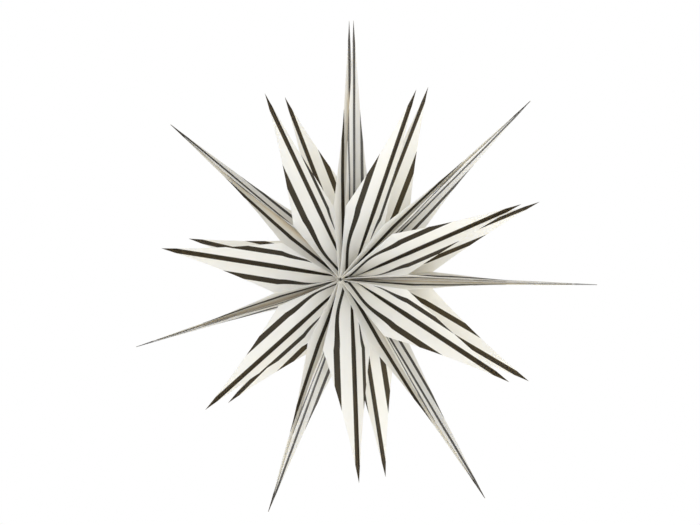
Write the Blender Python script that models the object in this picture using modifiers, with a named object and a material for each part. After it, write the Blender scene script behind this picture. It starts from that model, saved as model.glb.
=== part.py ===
"""Paper snowflake star: seven gusseted paper bags glued in a stack and fanned round to a ring.

The origin is the point that the star hangs from, at the tip of its top point. +Z is up, the bags'
bottoms lie along the Y axis at the hub, and the front of the star faces -Y. Bags are numbered
clockwise as seen from the front, starting at the top, and each bag is

    panel_a, panel_b             its two faces, glued to the faces of the bags beside it
    front_gusset_a, _b           its front side, folded along the middle into two halves
    back_gusset_a, _b            its back side, the same

Panels are glued together only down their middles, so each is bent there into a shallow V.
"""

import math

import bmesh
import bpy
from mathutils import Matrix, Vector

# The bag, lying flat
BAG_LENGTH = 0.300  # bottom fold to the panels' points
GUSSET_LENGTH = 0.238  # bottom fold to the gussets' points
BAG_WIDTH = 0.079  # a panel between its two outer folds
GUSSET_DEPTH = 0.0355  # outer fold to inner fold
SHOULDER = 0.083  # height at which the slanting cuts reach the outer folds
CUT_HOLLOW = 0.3  # share by which a cut would be narrower than straight, right at its point
PAPER = 0.0003  # thickness
GAP = 0.0003  # left between sheets that touch

# The star, opened and closed to a ring
BAG_ANGLES_DEG = (47.0, 43.5, 56.0, 55.0, 51.5, 54.0, 52.0)  # fanned by hand, so not even
LEAN_DEG = {  # how far a gusset's point stands off the bag's middle
    "front": (-0.5, -0.5, 0.0, 0.5, 1.0, -2.0, 2.5),
    "back": (-3.5, -1.0, 1.0, -0.5, 2.0, 0.5, 1.0),
}
PANEL_BEND_DEG = {  # how far a panel is bent beside its glue, bag by bag
    ("a", "front"): (5.1, 4.2, 7.0, 7.0, 7.5, 5.4, 9.3),
    ("b", "front"): (6.1, 5.2, 7.8, 7.1, 5.7, 8.3, 4.3),
    ("a", "back"): (4.0, 7.0, 8.0, 7.0, 8.0, 7.0, 6.0),
    ("b", "back"): (7.5, 5.7, 2.5, 5.5, 5.0, 6.8, 5.8),
}
EVEN_ANGLE_DEG = 51.4  # a bag opened this far has
POINT_OUT = 0.0335  # its gusset points this far off the star's middle plane, and one opened
POINT_GAIN = 0.0003  # further has them this much further out for each degree
CLOSING_GAP_DEG = 1.0  # the two top points stand a little apart
GUSSET_BULGE = 0.005  # low down, a gusset half bows this far towards its panel
GUSSET_START = 0.006  # nearer the hub the gusset's halves are pressed flat in the bottom fold

# Glue and tape
SEAM_WIDTH = 0.008
BOTTOM_SEAM = 0.010  # height of the bar of glue along the bottom fold
SEAM_END = 0.270
TAPE_SIZE = (0.012, 0.110)
TAPE_BOTTOM = 0.080

HALF_WIDTH = BAG_WIDTH / 2
SHEET_OFFSET = PAPER / 2 + GAP + PAPER / 2  # glue's middle to a panel's middle
FIN_HALF = SHEET_OFFSET + PAPER / 2 + GAP / 2
HUB_RADIUS = FIN_HALF / math.tan(math.radians(min(BAG_ANGLES_DEG)) / 2)  # room for the narrowest
HUB = Vector((0, 0, -BAG_LENGTH - HUB_RADIUS))
SIDES = {"front": -1, "back": 1}
Y = Vector((0, 1, 0))


def outward(angle):
    """Unit vector from the hub, at an angle clockwise from the top."""
    return Vector((math.sin(angle), 0, math.cos(angle)))


def clockwise(angle):
    return Vector((math.cos(angle), 0, -math.sin(angle)))


def paint(name, colour, roughness):
    material = bpy.data.materials.new(name)
    material.use_nodes = True
    shader = material.node_tree.nodes["Principled BSDF"]
    shader.inputs["Base Color"].default_value = (*colour, 1)
    shader.inputs["Roughness"].default_value = roughness
    shader.inputs["Metallic"].default_value = 0
    return material


def clear_scene():
    for obj in list(bpy.data.objects):
        bpy.data.objects.remove(obj, do_unlink=True)


def joint_empty(name, place, axis, parent, collection):
    """An empty on a joint's axis, with its own Z along that axis."""
    empty = bpy.data.objects.new(name, None)
    empty.empty_display_size = 0.01
    collection.objects.link(empty)
    empty.parent = parent
    turned = axis.to_track_quat("Z", "Y").to_matrix().to_4x4()
    world = Matrix.Translation(place) @ turned
    empty.matrix_world = world
    bpy.context.view_layer.update()
    return empty


def folded_sheet(name, rows, columns, place, thickness, material, parent, collection):
    """A flat grid of paper, bent to shape and given its thickness.

    rows are heights above the bottom fold and columns go from 0 to 1 across; place(height, across)
    is the world position of that point of the sheet's middle.
    """
    mesh = bpy.data.meshes.new(name)
    grid = bmesh.new()
    across, along = len(columns) - 1, len(rows) - 1
    bmesh.ops.create_grid(grid, x_segments=across, y_segments=along, size=0.5)
    to_local = parent.matrix_world.inverted()
    for point in grid.verts:
        column = columns[round((point.co.x + 0.5) * across)]
        row = rows[round((point.co.y + 0.5) * along)]
        point.co = to_local @ place(row, column)
    bmesh.ops.remove_doubles(grid, verts=grid.verts, dist=1e-6)
    bmesh.ops.triangulate(grid, faces=grid.faces)
    grid.to_mesh(mesh)
    grid.free()
    mesh.materials.append(material)
    sheet = bpy.data.objects.new(name, mesh)
    sheet.parent = parent
    collection.objects.link(sheet)
    solid = sheet.modifiers.new("Paper thickness", "SOLIDIFY")
    solid.thickness = thickness
    solid.offset = 0
    solid.use_even_offset = False
    return sheet


class Bag:
    """Where a bag's folds lie in the opened star."""

    def __init__(self, number, start, end):
        self.number = number
        self.fins = {"a": start, "b": end}
        opening = end - start
        wider = math.degrees(opening) - EVEN_ANGLE_DEG
        self.middle, self.bend = {}, {}
        for side, leans in LEAN_DEG.items():
            self.middle[side] = (start + end) / 2 + math.radians(leans[number - 1])
        for place, bends in PANEL_BEND_DEG.items():
            self.bend[place] = math.radians(bends[number - 1])
        self.inner_start = HALF_WIDTH - GUSSET_DEPTH
        point_out = POINT_OUT + POINT_GAIN * wider
        self.tilt = math.asin((point_out - self.inner_start) / GUSSET_LENGTH)
        to_fold = HUB_RADIUS * math.cos(opening / 2) + FIN_HALF * math.sin(opening / 2)
        self.pivot = HUB + outward((start + end) / 2) * to_fold

    def into(self, half):
        """Unit vector from a panel's plane into the bag."""
        return clockwise(self.fins[half]) * (1 if half == "a" else -1)

    def panel_point(self, half, height, across):
        """across is the distance from the panel's middle, negative to the front."""
        bend = self.bend[half, "front" if across < 0 else "back"]
        slope = min(height, SHOULDER) * math.sin(bend) / HALF_WIDTH
        flat = HUB + outward(self.fins[half]) * (HUB_RADIUS + height)
        lift = SHEET_OFFSET + abs(across) * slope
        return flat + self.into(half) * lift + Y * across * math.sqrt(1 - slope**2)

    def inner_fold(self, side):
        """The way that a gusset's inner fold runs, straight from the hub to the gusset's point."""
        up = outward(self.middle[side])
        return up * math.cos(self.tilt) + Y * SIDES[side] * math.sin(self.tilt)

    def gusset_point(self, half, side, height, depth):
        """depth is the distance from the outer fold, up to GUSSET_DEPTH at the inner fold."""
        low, sign = min(height, SHOULDER), -1 if half == "a" else 1
        ridge = self.panel_point(half, low, SIDES[side] * HALF_WIDTH)
        ridge += self.into(half) * (PAPER + GAP) - Y * SIDES[side] * (PAPER + GAP)
        inner = HUB + outward(self.middle[side]) * HUB_RADIUS + self.inner_fold(side) * low
        inner += Y * SIDES[side] * self.inner_start
        inner += clockwise(self.middle[side]) * sign * (PAPER + GAP) / 2
        share = depth / GUSSET_DEPTH
        bow = math.sin(math.pi * low / SHOULDER) * math.sin(math.pi * share)
        point = ridge.lerp(inner, share) - self.into(half) * GUSSET_BULGE * bow**2
        return point + self.inner_fold(side) * (height - low)

    def gusset_hinge(self, half, side):
        """(point, axis, angle) of the turn that folds an opened gusset half flat inside its panel."""
        start = self.gusset_point(half, side, SHOULDER, 0)
        up = self.inner_fold(side)
        across = self.gusset_point(half, side, SHOULDER, GUSSET_DEPTH) - start
        across = (across - up * across.dot(up)).normalized()
        flat, inward = outward(self.fins[half]), -Y * SIDES[side]
        opened = Matrix((up, across, up.cross(across))).transposed()
        folded = Matrix((flat, inward, flat.cross(inward))).transposed()
        axis, angle = (folded @ opened.transposed()).to_quaternion().to_axis_angle()
        end = HUB + flat * (HUB_RADIUS + SHOULDER) + Y * SIDES[side] * HALF_WIDTH
        end += self.into(half) * (SHEET_OFFSET + PAPER + GAP)
        step = end - start
        step -= axis * step.dot(axis)
        place = start + step / 2 + axis.cross(step) / (2 * math.tan(angle / 2))
        return place, axis, angle


def taper(height, top):
    """Share of the full width that the slightly hollow cuts leave, 0 at the top."""
    left = min(1, (top - height) / (top - SHOULDER))
    return left * (1 - CUT_HOLLOW * (1 - left))


def gusset_across(height, share):
    """Distance from the outer fold to a point at that share of the way from edge to inner fold."""
    return GUSSET_DEPTH * (1 - taper(height, GUSSET_LENGTH) * (1 - share))


def panel_half(height):
    """Half the panel's width at a height."""
    return HALF_WIDTH * taper(height, BAG_LENGTH)


def rising(start, end, steps):
    return [start + (end - start) * i / steps for i in range(steps + 1)]


def add_panel(bag, half, parent, material, collection):
    rows = rising(0, SHOULDER, 3) + rising(SHOULDER, BAG_LENGTH, 6)[1:]
    columns = (-1, 0, 1)

    def place(height, share):
        return bag.panel_point(half, height, share * panel_half(height))

    name = f"bag_{bag.number}_panel_{half}"
    folded_sheet(name, rows, columns, place, PAPER, material, parent, collection)


def add_gusset_half(bag, half, side, fin, material, collection):
    name = f"bag_{bag.number}_{side}_gusset_{half}"
    point, axis, _ = bag.gusset_hinge(half, side)
    hinge = joint_empty(name + "_hinge", point, axis, fin, collection)
    rows = rising(GUSSET_START, SHOULDER, 5) + rising(SHOULDER, GUSSET_LENGTH, 5)[1:]

    def place(height, share):
        return bag.gusset_point(half, side, height, gusset_across(height, share))

    folded_sheet(name, rows, rising(0, 1, 4), place, PAPER, material, hinge, collection)


def flat_outline(name, outline, angle, offset, parent, material, collection):
    """A thin flat piece in a fin's plane; outline is a list of (Y, height above the bottom fold)."""
    curve = bpy.data.curves.new(name, "CURVE")
    curve.dimensions = "2D"
    curve.fill_mode = "BOTH"
    curve.extrude = PAPER / 2
    spline = curve.splines.new("POLY")
    spline.points.add(len(outline) - 1)
    spline.use_cyclic_u = True
    for point, (across, height) in zip(spline.points, outline):
        point.co = (across, height, 0, 1)
    curve.materials.append(material)
    piece = bpy.data.objects.new(name, curve)
    collection.objects.link(piece)
    piece.parent = parent
    up = outward(angle)
    turned = Matrix((Y, up, Y.cross(up))).transposed().to_4x4()
    base = HUB + up * HUB_RADIUS + clockwise(angle) * offset
    piece.matrix_world = Matrix.Translation(base) @ turned
    return piece


def add_seam(number, angle, parent, material, collection):
    """Glue between two bags, shaped like a T upside down: along the bottom and up the middle."""
    side, middle = HALF_WIDTH - 0.002, SEAM_WIDTH / 2
    low = 0.001
    outline = [(-side, low), (side, low), (side, BOTTOM_SEAM), (middle, BOTTOM_SEAM)]
    outline += [(middle / 3, SEAM_END), (-middle / 3, SEAM_END)]
    outline += [(-middle, BOTTOM_SEAM), (-side, BOTTOM_SEAM)]
    name = f"glue_seam_{number}_{number + 1}"
    flat_outline(name, outline, angle, 0, parent, material, collection)


def add_closing_tape(angle, parent, material, collection):
    """Double-sided tape on the first panel, which the last panel sticks to."""
    width, height = TAPE_SIZE
    top = TAPE_BOTTOM + height
    outline = [(-width / 2, TAPE_BOTTOM), (width / 2, TAPE_BOTTOM)]
    outline += [(width / 2, top), (-width / 2, top)]
    flat_outline("closing_tape", outline, angle, 0, parent, material, collection)


def build_star():
    collection = bpy.data.collections.new("paper_snowflake_star")
    bpy.context.scene.collection.children.link(collection)
    panel_paper = paint("panel_paper", (0.82, 0.80, 0.74), 0.85)
    gusset_paper = paint("gusset_paper", (0.80, 0.78, 0.73), 0.85)
    glue = paint("glue", (0.75, 0.72, 0.62), 0.5)
    tape = paint("tape", (0.85, 0.83, 0.76), 0.4)

    angle = math.radians(CLOSING_GAP_DEG) / 2
    fin = joint_empty("first_fin", HUB, Y, None, collection)
    add_closing_tape(angle, fin, tape, collection)
    for number, opening in enumerate(BAG_ANGLES_DEG, start=1):
        bag = Bag(number, angle, angle + math.radians(opening))
        next_fin = joint_empty(f"bag_{number}_fold", bag.pivot, Y, fin, collection)
        for half, holder in (("a", fin), ("b", next_fin)):
            add_panel(bag, half, holder, panel_paper, collection)
            for side in SIDES:
                add_gusset_half(bag, half, side, holder, gusset_paper, collection)
        angle = bag.fins["b"]
        fin = next_fin
        if number < len(BAG_ANGLES_DEG):
            add_seam(number, angle, fin, glue, collection)


clear_scene()
build_star()
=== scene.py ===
"""Looks of the paper snowflake star: printed paper, real folds, soft studio light.

Every sheet is rebuilt as a fine curved surface that follows the CAD sheet, with the bulge of real paper
and with flatter points, and is printed with charcoal stripes that run the length of the bag.
"""

import math

import bmesh
import bpy
from mathutils import Matrix, Vector, noise


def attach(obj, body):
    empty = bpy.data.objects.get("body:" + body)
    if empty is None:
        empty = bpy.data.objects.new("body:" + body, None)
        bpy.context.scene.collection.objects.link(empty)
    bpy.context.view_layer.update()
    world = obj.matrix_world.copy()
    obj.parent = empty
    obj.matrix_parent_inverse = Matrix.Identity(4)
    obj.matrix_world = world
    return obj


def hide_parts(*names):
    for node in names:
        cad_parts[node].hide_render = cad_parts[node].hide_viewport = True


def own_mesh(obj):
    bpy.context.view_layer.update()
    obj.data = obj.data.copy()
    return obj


# The bag and the star, as in the CAD
BAG_LENGTH = 0.300
GUSSET_LENGTH = 0.238
BAG_WIDTH = 0.079
GUSSET_DEPTH = 0.0355
SHOULDER = 0.083
CUT_HOLLOW = 0.3
PAPER = 0.0003
GAP = 0.0003
BAG_ANGLES_DEG = (47.0, 43.5, 56.0, 55.0, 51.5, 54.0, 52.0)
LEAN_DEG = {
    "front": (-0.5, -0.5, 0.0, 0.5, 1.0, -2.0, 2.5),
    "back": (-3.5, -1.0, 1.0, -0.5, 2.0, 0.5, 1.0),
}
PANEL_BEND_DEG = {
    ("a", "front"): (5.1, 4.2, 7.0, 7.0, 7.5, 5.4, 9.3),
    ("b", "front"): (6.1, 5.2, 7.8, 7.1, 5.7, 8.3, 4.3),
    ("a", "back"): (4.0, 7.0, 8.0, 7.0, 8.0, 7.0, 6.0),
    ("b", "back"): (7.5, 5.7, 2.5, 5.5, 5.0, 6.8, 5.8),
}
EVEN_ANGLE_DEG = 51.4
POINT_OUT = 0.0335
POINT_GAIN = 0.0003
CLOSING_GAP_DEG = 1.0
GUSSET_START = 0.004

# The paper's own shape and print
VALLEY_ROUNDING = 0.003  # how far the bend beside the glue is spread
GUSSET_BULGE = 0.005  # a gusset half bows this far towards its panel
WAVE = 0.0004  # free edges are never quite flat
FLATTER_TIP, FLATTER_OVER = 0.7, 0.10  # a panel's sides lie closer together towards its point
STRIPE_WIDTH = 0.0071
PANEL_PITCH = 0.0195  # between the stripes of a panel
GUSSET_PITCH = 0.0202
BACK_GUSSET_PITCH = 0.0173
GLUED_TO = 0.225  # above this height the panels close up towards their points; the painted valley shade on the panels' outer faces fades out just below it

# Linear colours
CREAM = (0.930, 0.900, 0.812)
CREAM_WARM = (0.915, 0.878, 0.780)
PAINTED_VALLEY_SHADE = (0.83, 0.74, 0.61)  # painted warm shade deep in the valleys between neighbouring panels
FIBRE = (0.86, 0.81, 0.72)
CHARCOAL = (0.025, 0.0205, 0.0130)
CHARCOAL_THIN = (0.052, 0.0445, 0.0320)

# The camera
YAW_DEG, ELEVATION_DEG, ROLL_DEG = 23.82, 2.14, -0.45
DISTANCE = 3.34
FOCAL_IN_WIDTHS = 4.057
CENTRE_RIGHT, CENTRE_DOWN = 0.00457, 0.02243

# The light: each lamp has a place from the hub, a disc's diameter and a power in watts
WORLD_LIGHT = 0.57
WORLD_TINT = (1, 0.985, 0.95, 1)
LAMPS = (
    ("key", (1.1, -2.6, -0.3), 1.6, 21),
    ("left", (-1.1, -2.5, 0.4), 1.6, 6),
    ("right", (2.0, -1.9, -1.7), 1.6, 36),
    ("behind", (0.7, 2.8, -0.4), 1.8, 42),
)
SPOT_PLACE, SPOT_CONE_DEG, SPOT_POWER, SPOT_RADIUS = (1.25, -2.8, 0.1), 5.5, 520, 0.35
FLOOR_DROP, FLOOR_RADIUS = 0.65, 1.5

HALF_WIDTH = BAG_WIDTH / 2
SHEET_OFFSET = PAPER / 2 + GAP + PAPER / 2
FIN_HALF = SHEET_OFFSET + PAPER / 2 + GAP / 2
HUB_RADIUS = FIN_HALF / math.tan(math.radians(min(BAG_ANGLES_DEG)) / 2)
HUB = Vector((0, 0, -BAG_LENGTH - HUB_RADIUS))
SIDES = {"front": -1, "back": 1}
Y = Vector((0, 1, 0))


def outward(angle):
    return Vector((math.sin(angle), 0, math.cos(angle)))


def clockwise(angle):
    return Vector((math.cos(angle), 0, -math.sin(angle)))


def taper(height, top):
    left = min(1, (top - height) / (top - SHOULDER))
    return left * (1 - CUT_HOLLOW * (1 - left))


def rising(start, end, steps):
    return [start + (end - start) * i / steps for i in range(steps + 1)]


class Bag:
    """Where a bag's sheets lie in the opened star."""

    def __init__(self, number, start, end):
        self.number = number
        self.fins = {"a": start, "b": end}
        wider = math.degrees(end - start) - EVEN_ANGLE_DEG
        self.middle, self.bend = {}, {}
        for side, leans in LEAN_DEG.items():
            self.middle[side] = (start + end) / 2 + math.radians(leans[number - 1])
        for place, bends in PANEL_BEND_DEG.items():
            self.bend[place] = math.radians(bends[number - 1])
        self.inner_start = HALF_WIDTH - GUSSET_DEPTH
        point_out = POINT_OUT + POINT_GAIN * wider
        self.tilt = math.asin((point_out - self.inner_start) / GUSSET_LENGTH)

    def into(self, half):
        return clockwise(self.fins[half]) * (1 if half == "a" else -1)

    def panel_point(self, half, height, across):
        bend = self.bend[half, "front" if across < 0 else "back"]
        slope = min(height, SHOULDER) * math.sin(bend) / HALF_WIDTH
        slope *= 1 - FLATTER_TIP * min(1, max(0, height - SHOULDER) / FLATTER_OVER)
        flat = HUB + outward(self.fins[half]) * (HUB_RADIUS + height)
        rounded = math.hypot(across, VALLEY_ROUNDING) - VALLEY_ROUNDING
        tip = max(0, height - GLUED_TO) / (BAG_LENGTH - GLUED_TO)
        lift = SHEET_OFFSET - (SHEET_OFFSET - PAPER * 0.6) * tip + rounded * slope
        return flat + self.into(half) * lift + Y * across * math.sqrt(1 - slope**2)

    def inner_fold(self, side):
        up = outward(self.middle[side])
        return up * math.cos(self.tilt) + Y * SIDES[side] * math.sin(self.tilt)

    def gusset_point(self, half, side, height, depth):
        low = min(height, SHOULDER)
        ridge = self.panel_point(half, low, SIDES[side] * HALF_WIDTH)
        ridge += self.into(half) * PAPER / 2
        inner = HUB + outward(self.middle[side]) * HUB_RADIUS + self.inner_fold(side) * low
        inner += Y * SIDES[side] * self.inner_start
        share = depth / GUSSET_DEPTH
        bow = math.sin(math.pi * low / SHOULDER) * math.sin(math.pi * share)
        point = ridge.lerp(inner, share) - self.into(half) * GUSSET_BULGE * bow**2
        return point + self.inner_fold(side) * (height - low)


# Materials


class Nodes:
    """Short-hand for building a material's node tree."""

    def __init__(self, name):
        self.material = bpy.data.materials.new(name)
        self.material.use_nodes = True
        self.tree = self.material.node_tree
        self.shader = self.tree.nodes["Principled BSDF"]

    def add(self, kind, **values):
        node = self.tree.nodes.new("ShaderNode" + kind)
        for key, value in values.items():
            setattr(node, key, value)
        return node

    def link(self, source, target):
        self.tree.links.new(source, target)

    def fill(self, socket, value):
        if isinstance(value, bpy.types.NodeSocket):
            self.link(value, socket)
        else:
            socket.default_value = value

    def math(self, operation, *values):
        node = self.add("Math", operation=operation)
        for socket, value in zip(node.inputs, values):
            self.fill(socket, value)
        return node.outputs[0]

    def range(self, value, low, high, to_low=0.0, to_high=1.0, smooth=False):
        node = self.add("MapRange", interpolation_type="SMOOTHSTEP" if smooth else "LINEAR")
        for socket, given in zip(node.inputs, (value, low, high, to_low, to_high)):
            self.fill(socket, given)
        return node.outputs[0]

    def noise(self, vector, scale, detail=2.0, roughness=0.5):
        node = self.add("TexNoise")
        self.fill(node.inputs["Vector"], vector)
        self.fill(node.inputs["Scale"], scale)
        self.fill(node.inputs["Detail"], detail)
        self.fill(node.inputs["Roughness"], roughness)
        return node.outputs["Fac"]

    def stretch(self, vector, scale):
        node = self.add("VectorMath", operation="MULTIPLY")
        self.fill(node.inputs[0], vector)
        self.fill(node.inputs[1], scale)
        return node.outputs[0]

    def mix(self, factor, first, second):
        node = self.add("Mix", data_type="RGBA")
        self.fill(node.inputs["Factor"], factor)
        for name, value in (("A", first), ("B", second)):
            socket = [s for s in node.inputs if s.name == name and s.type == "RGBA"][0]
            self.fill(socket, value if isinstance(value, bpy.types.NodeSocket) else (*value, 1))
        return [s for s in node.outputs if s.type == "RGBA"][0]

    def bump(self, height, distance, strength=1.0):
        node = self.add("Bump")
        self.fill(node.inputs["Height"], height)
        self.fill(node.inputs["Distance"], distance)
        self.fill(node.inputs["Strength"], strength)
        self.link(node.outputs["Normal"], self.shader.inputs["Normal"])


def printed_paper(name, pitch, glued=False):
    """Cream paper with charcoal stripes where the print coordinate is whole, all but the last one, and
    optionally a painted warm valley shade on the panels' outer faces.
    """
    n = Nodes(name)
    sheet = n.add("UVMap", uv_map="sheet").outputs["UV"]
    parts = n.add("SeparateXYZ")
    n.link(sheet, parts.inputs[0])
    place = n.math("ABSOLUTE", parts.outputs["X"])
    metric = n.stretch(sheet, (pitch, 1, 1))
    fibre = n.noise(n.stretch(metric, (1, 0.35, 1)), 1900, 4, 0.6)
    grain = n.noise(metric, 620, 3, 0.6)
    cloud = n.noise(metric, 26, 3, 0.55)
    ragged = n.math("MULTIPLY", n.math("SUBTRACT", fibre, 0.5), 0.02)
    capped = n.math("MINIMUM", place, 1.5)
    away = n.math("ABSOLUTE", n.math("SUBTRACT", capped, n.math("ROUND", capped)))
    away = n.math("ADD", away, ragged)
    half = STRIPE_WIDTH / 2 / pitch
    ink = n.range(away, half + 0.014, half - 0.014, smooth=True)
    cream = n.mix(n.range(cloud, 0.3, 0.7), CREAM, CREAM_WARM)
    cream = n.mix(n.range(fibre, 0.62, 0.80, 0, 0.22), cream, FIBRE)
    texture = n.math("ADD", n.math("MULTIPLY", fibre, 0.6), n.math("MULTIPLY", grain, 0.4))
    worn = n.range(texture, 0.56, 0.72)
    dark = n.mix(worn, CHARCOAL, CHARCOAL_THIN)
    colour = n.mix(ink, cream, dark)
    # Painted shade: the outer faces turn warm tan towards the panel's middle line, deep in the valley
    # between neighbouring panels, fading out below GLUED_TO
    if glued:
        spread = n.math("ADD", place, n.math("MULTIPLY", cloud, 0.2))
        painted_shade = n.range(spread, 0.68, 0.36, smooth=True)
        low = n.range(parts.outputs["Y"], GLUED_TO, GLUED_TO - 0.03, smooth=True)
        painted_shade = n.math("MULTIPLY", painted_shade, low)
        colour = n.mix(painted_shade, colour, PAINTED_VALLEY_SHADE)
    n.link(colour, n.shader.inputs["Base Color"])
    n.shader.inputs["Subsurface Weight"].default_value = 0.85
    n.shader.inputs["Subsurface Radius"].default_value = (1.0, 0.93, 0.78)
    n.shader.inputs["Subsurface Scale"].default_value = 0.0015
    rough = n.range(grain, 0.3, 0.7, 0.86, 0.96)
    inked = n.range(grain, 0.3, 0.7, 0.52, 0.64)
    difference = n.math("MULTIPLY", n.math("SUBTRACT", inked, rough), ink)
    n.link(n.math("ADD", rough, difference), n.shader.inputs["Roughness"])
    n.shader.inputs["Specular IOR Level"].default_value = 0.28
    n.bump(texture, 0.00006)
    return n.material


def dried_glue(name):
    n = Nodes(name)
    place = n.add("TexCoord").outputs["Object"]
    cloud = n.noise(place, 180, 4, 0.6)
    amber = n.mix(n.range(cloud, 0.35, 0.7), (0.62, 0.55, 0.42), (0.74, 0.68, 0.56))
    n.link(amber, n.shader.inputs["Base Color"])
    n.link(n.range(cloud, 0.3, 0.7, 0.28, 0.5), n.shader.inputs["Roughness"])
    n.bump(n.noise(place, 420, 3), 0.0001)
    return n.material


def sticky_tape(name):
    n = Nodes(name)
    place = n.add("TexCoord").outputs["Object"]
    cloud = n.noise(place, 90, 3, 0.5)
    milky = n.mix(n.range(cloud, 0.35, 0.7), (0.80, 0.77, 0.68), (0.86, 0.84, 0.78))
    n.link(milky, n.shader.inputs["Base Color"])
    n.link(n.range(cloud, 0.3, 0.7, 0.22, 0.36), n.shader.inputs["Roughness"])
    n.bump(n.noise(n.stretch(place, (1, 1, 0.2)), 700, 2), 0.00004)
    return n.material


# Sheets


def sheet_object(name, rows, columns, place, material):
    """place(height, share) gives (world point, print coordinate)."""
    mesh = bpy.data.meshes.new(name)
    grid = bmesh.new()
    layer = grid.loops.layers.uv.new("sheet")
    points = [[place(row, column) for column in columns] for row in rows]
    corners = [[grid.verts.new(point) for point, _ in line] for line in points]
    for i in range(len(rows) - 1):
        for j in range(len(columns) - 1):
            at = ((i, j), (i, j + 1), (i + 1, j + 1), (i + 1, j))
            face = grid.faces.new([corners[a][b] for a, b in at])
            face.smooth = True
            for loop, (a, b) in zip(face.loops, at):
                loop[layer].uv = (points[a][b][1], rows[a])
    bmesh.ops.dissolve_degenerate(grid, dist=2e-5, edges=grid.edges)
    grid.to_mesh(mesh)
    grid.free()
    mesh.materials.append(material)
    piece = bpy.data.objects.new(name, mesh)
    bpy.context.scene.collection.objects.link(piece)
    solid = piece.modifiers.new("Paper thickness", "SOLIDIFY")
    solid.thickness = PAPER
    solid.offset = 0
    bpy.context.view_layer.objects.active = piece
    with bpy.context.temp_override(object=piece, active_object=piece):
        bpy.ops.object.modifier_apply(modifier=solid.name)
    mesh.set_sharp_from_angle(angle=math.radians(35))
    return piece


def wave(point, seed, size):
    return size * noise.noise(point * 22 + Vector((seed, 0, 0)))


def fold_flat(piece, bag, half, lift):
    """Gives the sheet a mesh of its own; it does not move the sheet."""
    anchor = HUB + bag.into(half) * lift
    clockwise(bag.fins[half])
    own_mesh(piece)


def add_panel(bag, half, body, materials):
    rows = rising(0, SHOULDER, 20) + rising(SHOULDER, BAG_LENGTH, 44)[1:]
    columns = [i / 14 for i in range(-14, 15)]
    into = bag.into(half)

    def place(height, share):
        across = share * HALF_WIDTH * taper(height, BAG_LENGTH)
        point = bag.panel_point(half, height, across)
        free = min(1, max(0, height - SHOULDER) / 0.03) * min(1, abs(across) / 0.01)
        point += into * free * (WAVE + wave(point, bag.number, WAVE))
        low = max(0, 1 - height / 0.11)
        drawn_out = 1 - 0.3 * low**2
        return point, across / PANEL_PITCH * drawn_out

    inner, outer = materials
    piece = sheet_object(f"paper_bag_{bag.number}_panel_{half}", rows, columns, place, inner)
    piece.data.materials.append(outer)
    for face in piece.data.polygons:
        face.material_index = int(face.normal.dot(into) < 0)
    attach(piece, body)
    fold_flat(piece, bag, half, SHEET_OFFSET)
    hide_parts(f"bag_{bag.number}_panel_{half}")


def add_gusset_half(bag, half, side, fin_body, material):
    rows = rising(GUSSET_START, SHOULDER, 20) + rising(SHOULDER, GUSSET_LENGTH, 32)[1:]
    columns = rising(0, 1, 14)
    pitch = GUSSET_PITCH if side == "front" else BACK_GUSSET_PITCH

    def place(height, share):
        depth = GUSSET_DEPTH * (1 - taper(height, GUSSET_LENGTH) * (1 - share))
        point = bag.gusset_point(half, side, height, depth)
        return point, (GUSSET_DEPTH - depth) / pitch

    name = f"bag_{bag.number}_{side}_gusset_{half}"
    piece = sheet_object("paper_" + name, rows, columns, place, material)
    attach(piece, fin_body)
    fold_flat(piece, bag, half, SHEET_OFFSET + PAPER * 1.5)
    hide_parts(name)


def build_star():
    inner_paper = printed_paper("printed_panel_paper", PANEL_PITCH)
    # the outer faces' material carries the painted valley shade
    outer_paper = printed_paper("printed_panel_paper_glued", PANEL_PITCH, glued=True)
    gusset_paper = printed_paper("printed_gusset_paper", GUSSET_PITCH)
    last = len(BAG_ANGLES_DEG)
    bodies = ["first_panel"] + [f"fin_{i}" for i in range(1, last)] + ["last_panel"]
    angle = math.radians(CLOSING_GAP_DEG) / 2
    for number, opening in enumerate(BAG_ANGLES_DEG, start=1):
        bag = Bag(number, angle, angle + math.radians(opening))
        for half, body in (("a", bodies[number - 1]), ("b", bodies[number])):
            add_panel(bag, half, body, (inner_paper, outer_paper))
            for side in SIDES:
                add_gusset_half(bag, half, side, body, gusset_paper)
        angle = bag.fins["b"]
    glue, tape = dried_glue("dried_glue"), sticky_tape("clear_tape")
    for name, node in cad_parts.items():
        if "glue" in name or "tape" in name:
            node.data.materials.clear()
            node.data.materials.append(glue if "glue" in name else tape)


# Surroundings


def add_camera():
    yaw, rise, roll = (math.radians(v) for v in (YAW_DEG, ELEVATION_DEG, ROLL_DEG))
    back = Vector((math.sin(yaw) * math.cos(rise), -math.cos(yaw) * math.cos(rise), math.sin(rise)))
    right = Vector((math.cos(yaw), math.sin(yaw), 0))
    turn = Matrix.Rotation(-roll, 3, "Y")
    back, right = turn @ back, turn @ right
    camera = bpy.data.objects.new("camera", bpy.data.cameras.new("camera"))
    bpy.context.scene.collection.objects.link(camera)
    axes = Matrix((right, back.cross(right), back)).transposed().to_4x4()
    camera.matrix_world = Matrix.Translation(HUB + back * DISTANCE) @ axes
    lens = camera.data
    lens.sensor_fit, lens.sensor_width = "HORIZONTAL", 36
    lens.lens = 36 * FOCAL_IN_WIDTHS
    lens.shift_x, lens.shift_y = -CENTRE_RIGHT, CENTRE_DOWN
    lens.clip_start, lens.clip_end = 0.05, 30
    bpy.context.scene.camera = camera


def aim_at_hub(light, place):
    holder = bpy.data.objects.new(light.name, light)
    bpy.context.scene.collection.objects.link(holder)
    holder.location = HUB + Vector(place)
    holder.rotation_euler = (HUB - holder.location).to_track_quat("-Z", "Y").to_euler()


def add_area_light(name, place, size, power):
    light = bpy.data.lights.new(name, "AREA")
    light.shape, light.size, light.energy = "DISK", size, power
    aim_at_hub(light, place)


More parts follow.
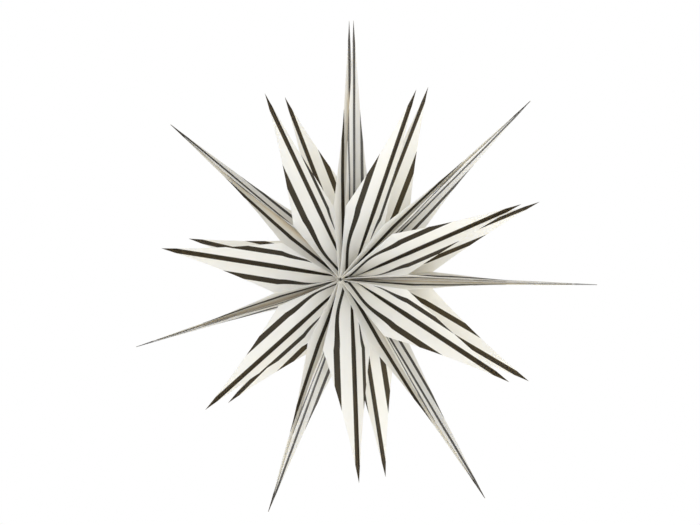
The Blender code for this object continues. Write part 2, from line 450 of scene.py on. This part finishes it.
def add_hub_spot():
    """A narrow soft beam into the creases around the hub."""
    light = bpy.data.lights.new("hub_spot", "SPOT")
    light.energy, light.spot_blend = SPOT_POWER, 1.0
    light.spot_size = math.radians(SPOT_CONE_DEG)
    light.shadow_soft_size = SPOT_RADIUS
    aim_at_hub(light, SPOT_PLACE)


def add_floor():
    """A pale round floor well below the star, melting into the white around it."""
    mesh = bpy.data.meshes.new("floor")
    disc = bmesh.new()
    bmesh.ops.create_circle(disc, cap_ends=True, segments=96, radius=FLOOR_RADIUS)
    disc.to_mesh(mesh)
    disc.free()
    floor = bpy.data.objects.new("floor", mesh)
    floor.location = (0, 0, HUB.z - FLOOR_DROP)
    bpy.context.scene.collection.objects.link(floor)
    n = Nodes("floor")
    place = n.add("TexCoord").outputs["Object"]
    length = n.add("VectorMath", operation="LENGTH")
    n.link(place, length.inputs[0])
    n.link(n.range(length.outputs["Value"], 1.45, 0.5, smooth=True), n.shader.inputs["Alpha"])
    n.shader.inputs["Base Color"].default_value = (0.92, 0.92, 0.91, 1)
    n.shader.inputs["Roughness"].default_value = 0.8
    mesh.materials.append(n.material)


def add_surroundings():
    world = bpy.data.worlds.new("studio")
    bpy.context.scene.world = world
    world.use_nodes = True
    tree = world.node_tree
    background = tree.nodes["Background"]
    path = tree.nodes.new("ShaderNodeLightPath")
    tint = tree.nodes.new("ShaderNodeMixRGB")
    tint.inputs["Color1"].default_value = WORLD_TINT
    tint.inputs["Color2"].default_value = (1, 1, 1, 1)
    tree.links.new(path.outputs["Is Camera Ray"], tint.inputs["Fac"])
    tree.links.new(tint.outputs["Color"], background.inputs["Color"])
    level = tree.nodes.new("ShaderNodeMapRange")
    level.inputs["To Min"].default_value = WORLD_LIGHT
    level.inputs["To Max"].default_value = 1.0
    tree.links.new(path.outputs["Is Camera Ray"], level.inputs["Value"])
    tree.links.new(level.outputs[0], background.inputs["Strength"])
    for name, place, size, power in LAMPS:
        add_area_light(name, place, size, power)
    add_hub_spot()
    bpy.context.scene.view_settings.view_transform = "Standard"


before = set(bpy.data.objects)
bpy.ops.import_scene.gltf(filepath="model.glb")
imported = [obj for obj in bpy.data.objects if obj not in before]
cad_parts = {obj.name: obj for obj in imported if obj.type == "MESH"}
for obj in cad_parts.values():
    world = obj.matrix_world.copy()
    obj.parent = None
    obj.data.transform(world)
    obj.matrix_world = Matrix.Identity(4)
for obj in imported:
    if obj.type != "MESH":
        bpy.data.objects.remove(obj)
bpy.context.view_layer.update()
build_star()
add_floor()
add_surroundings()
add_camera()
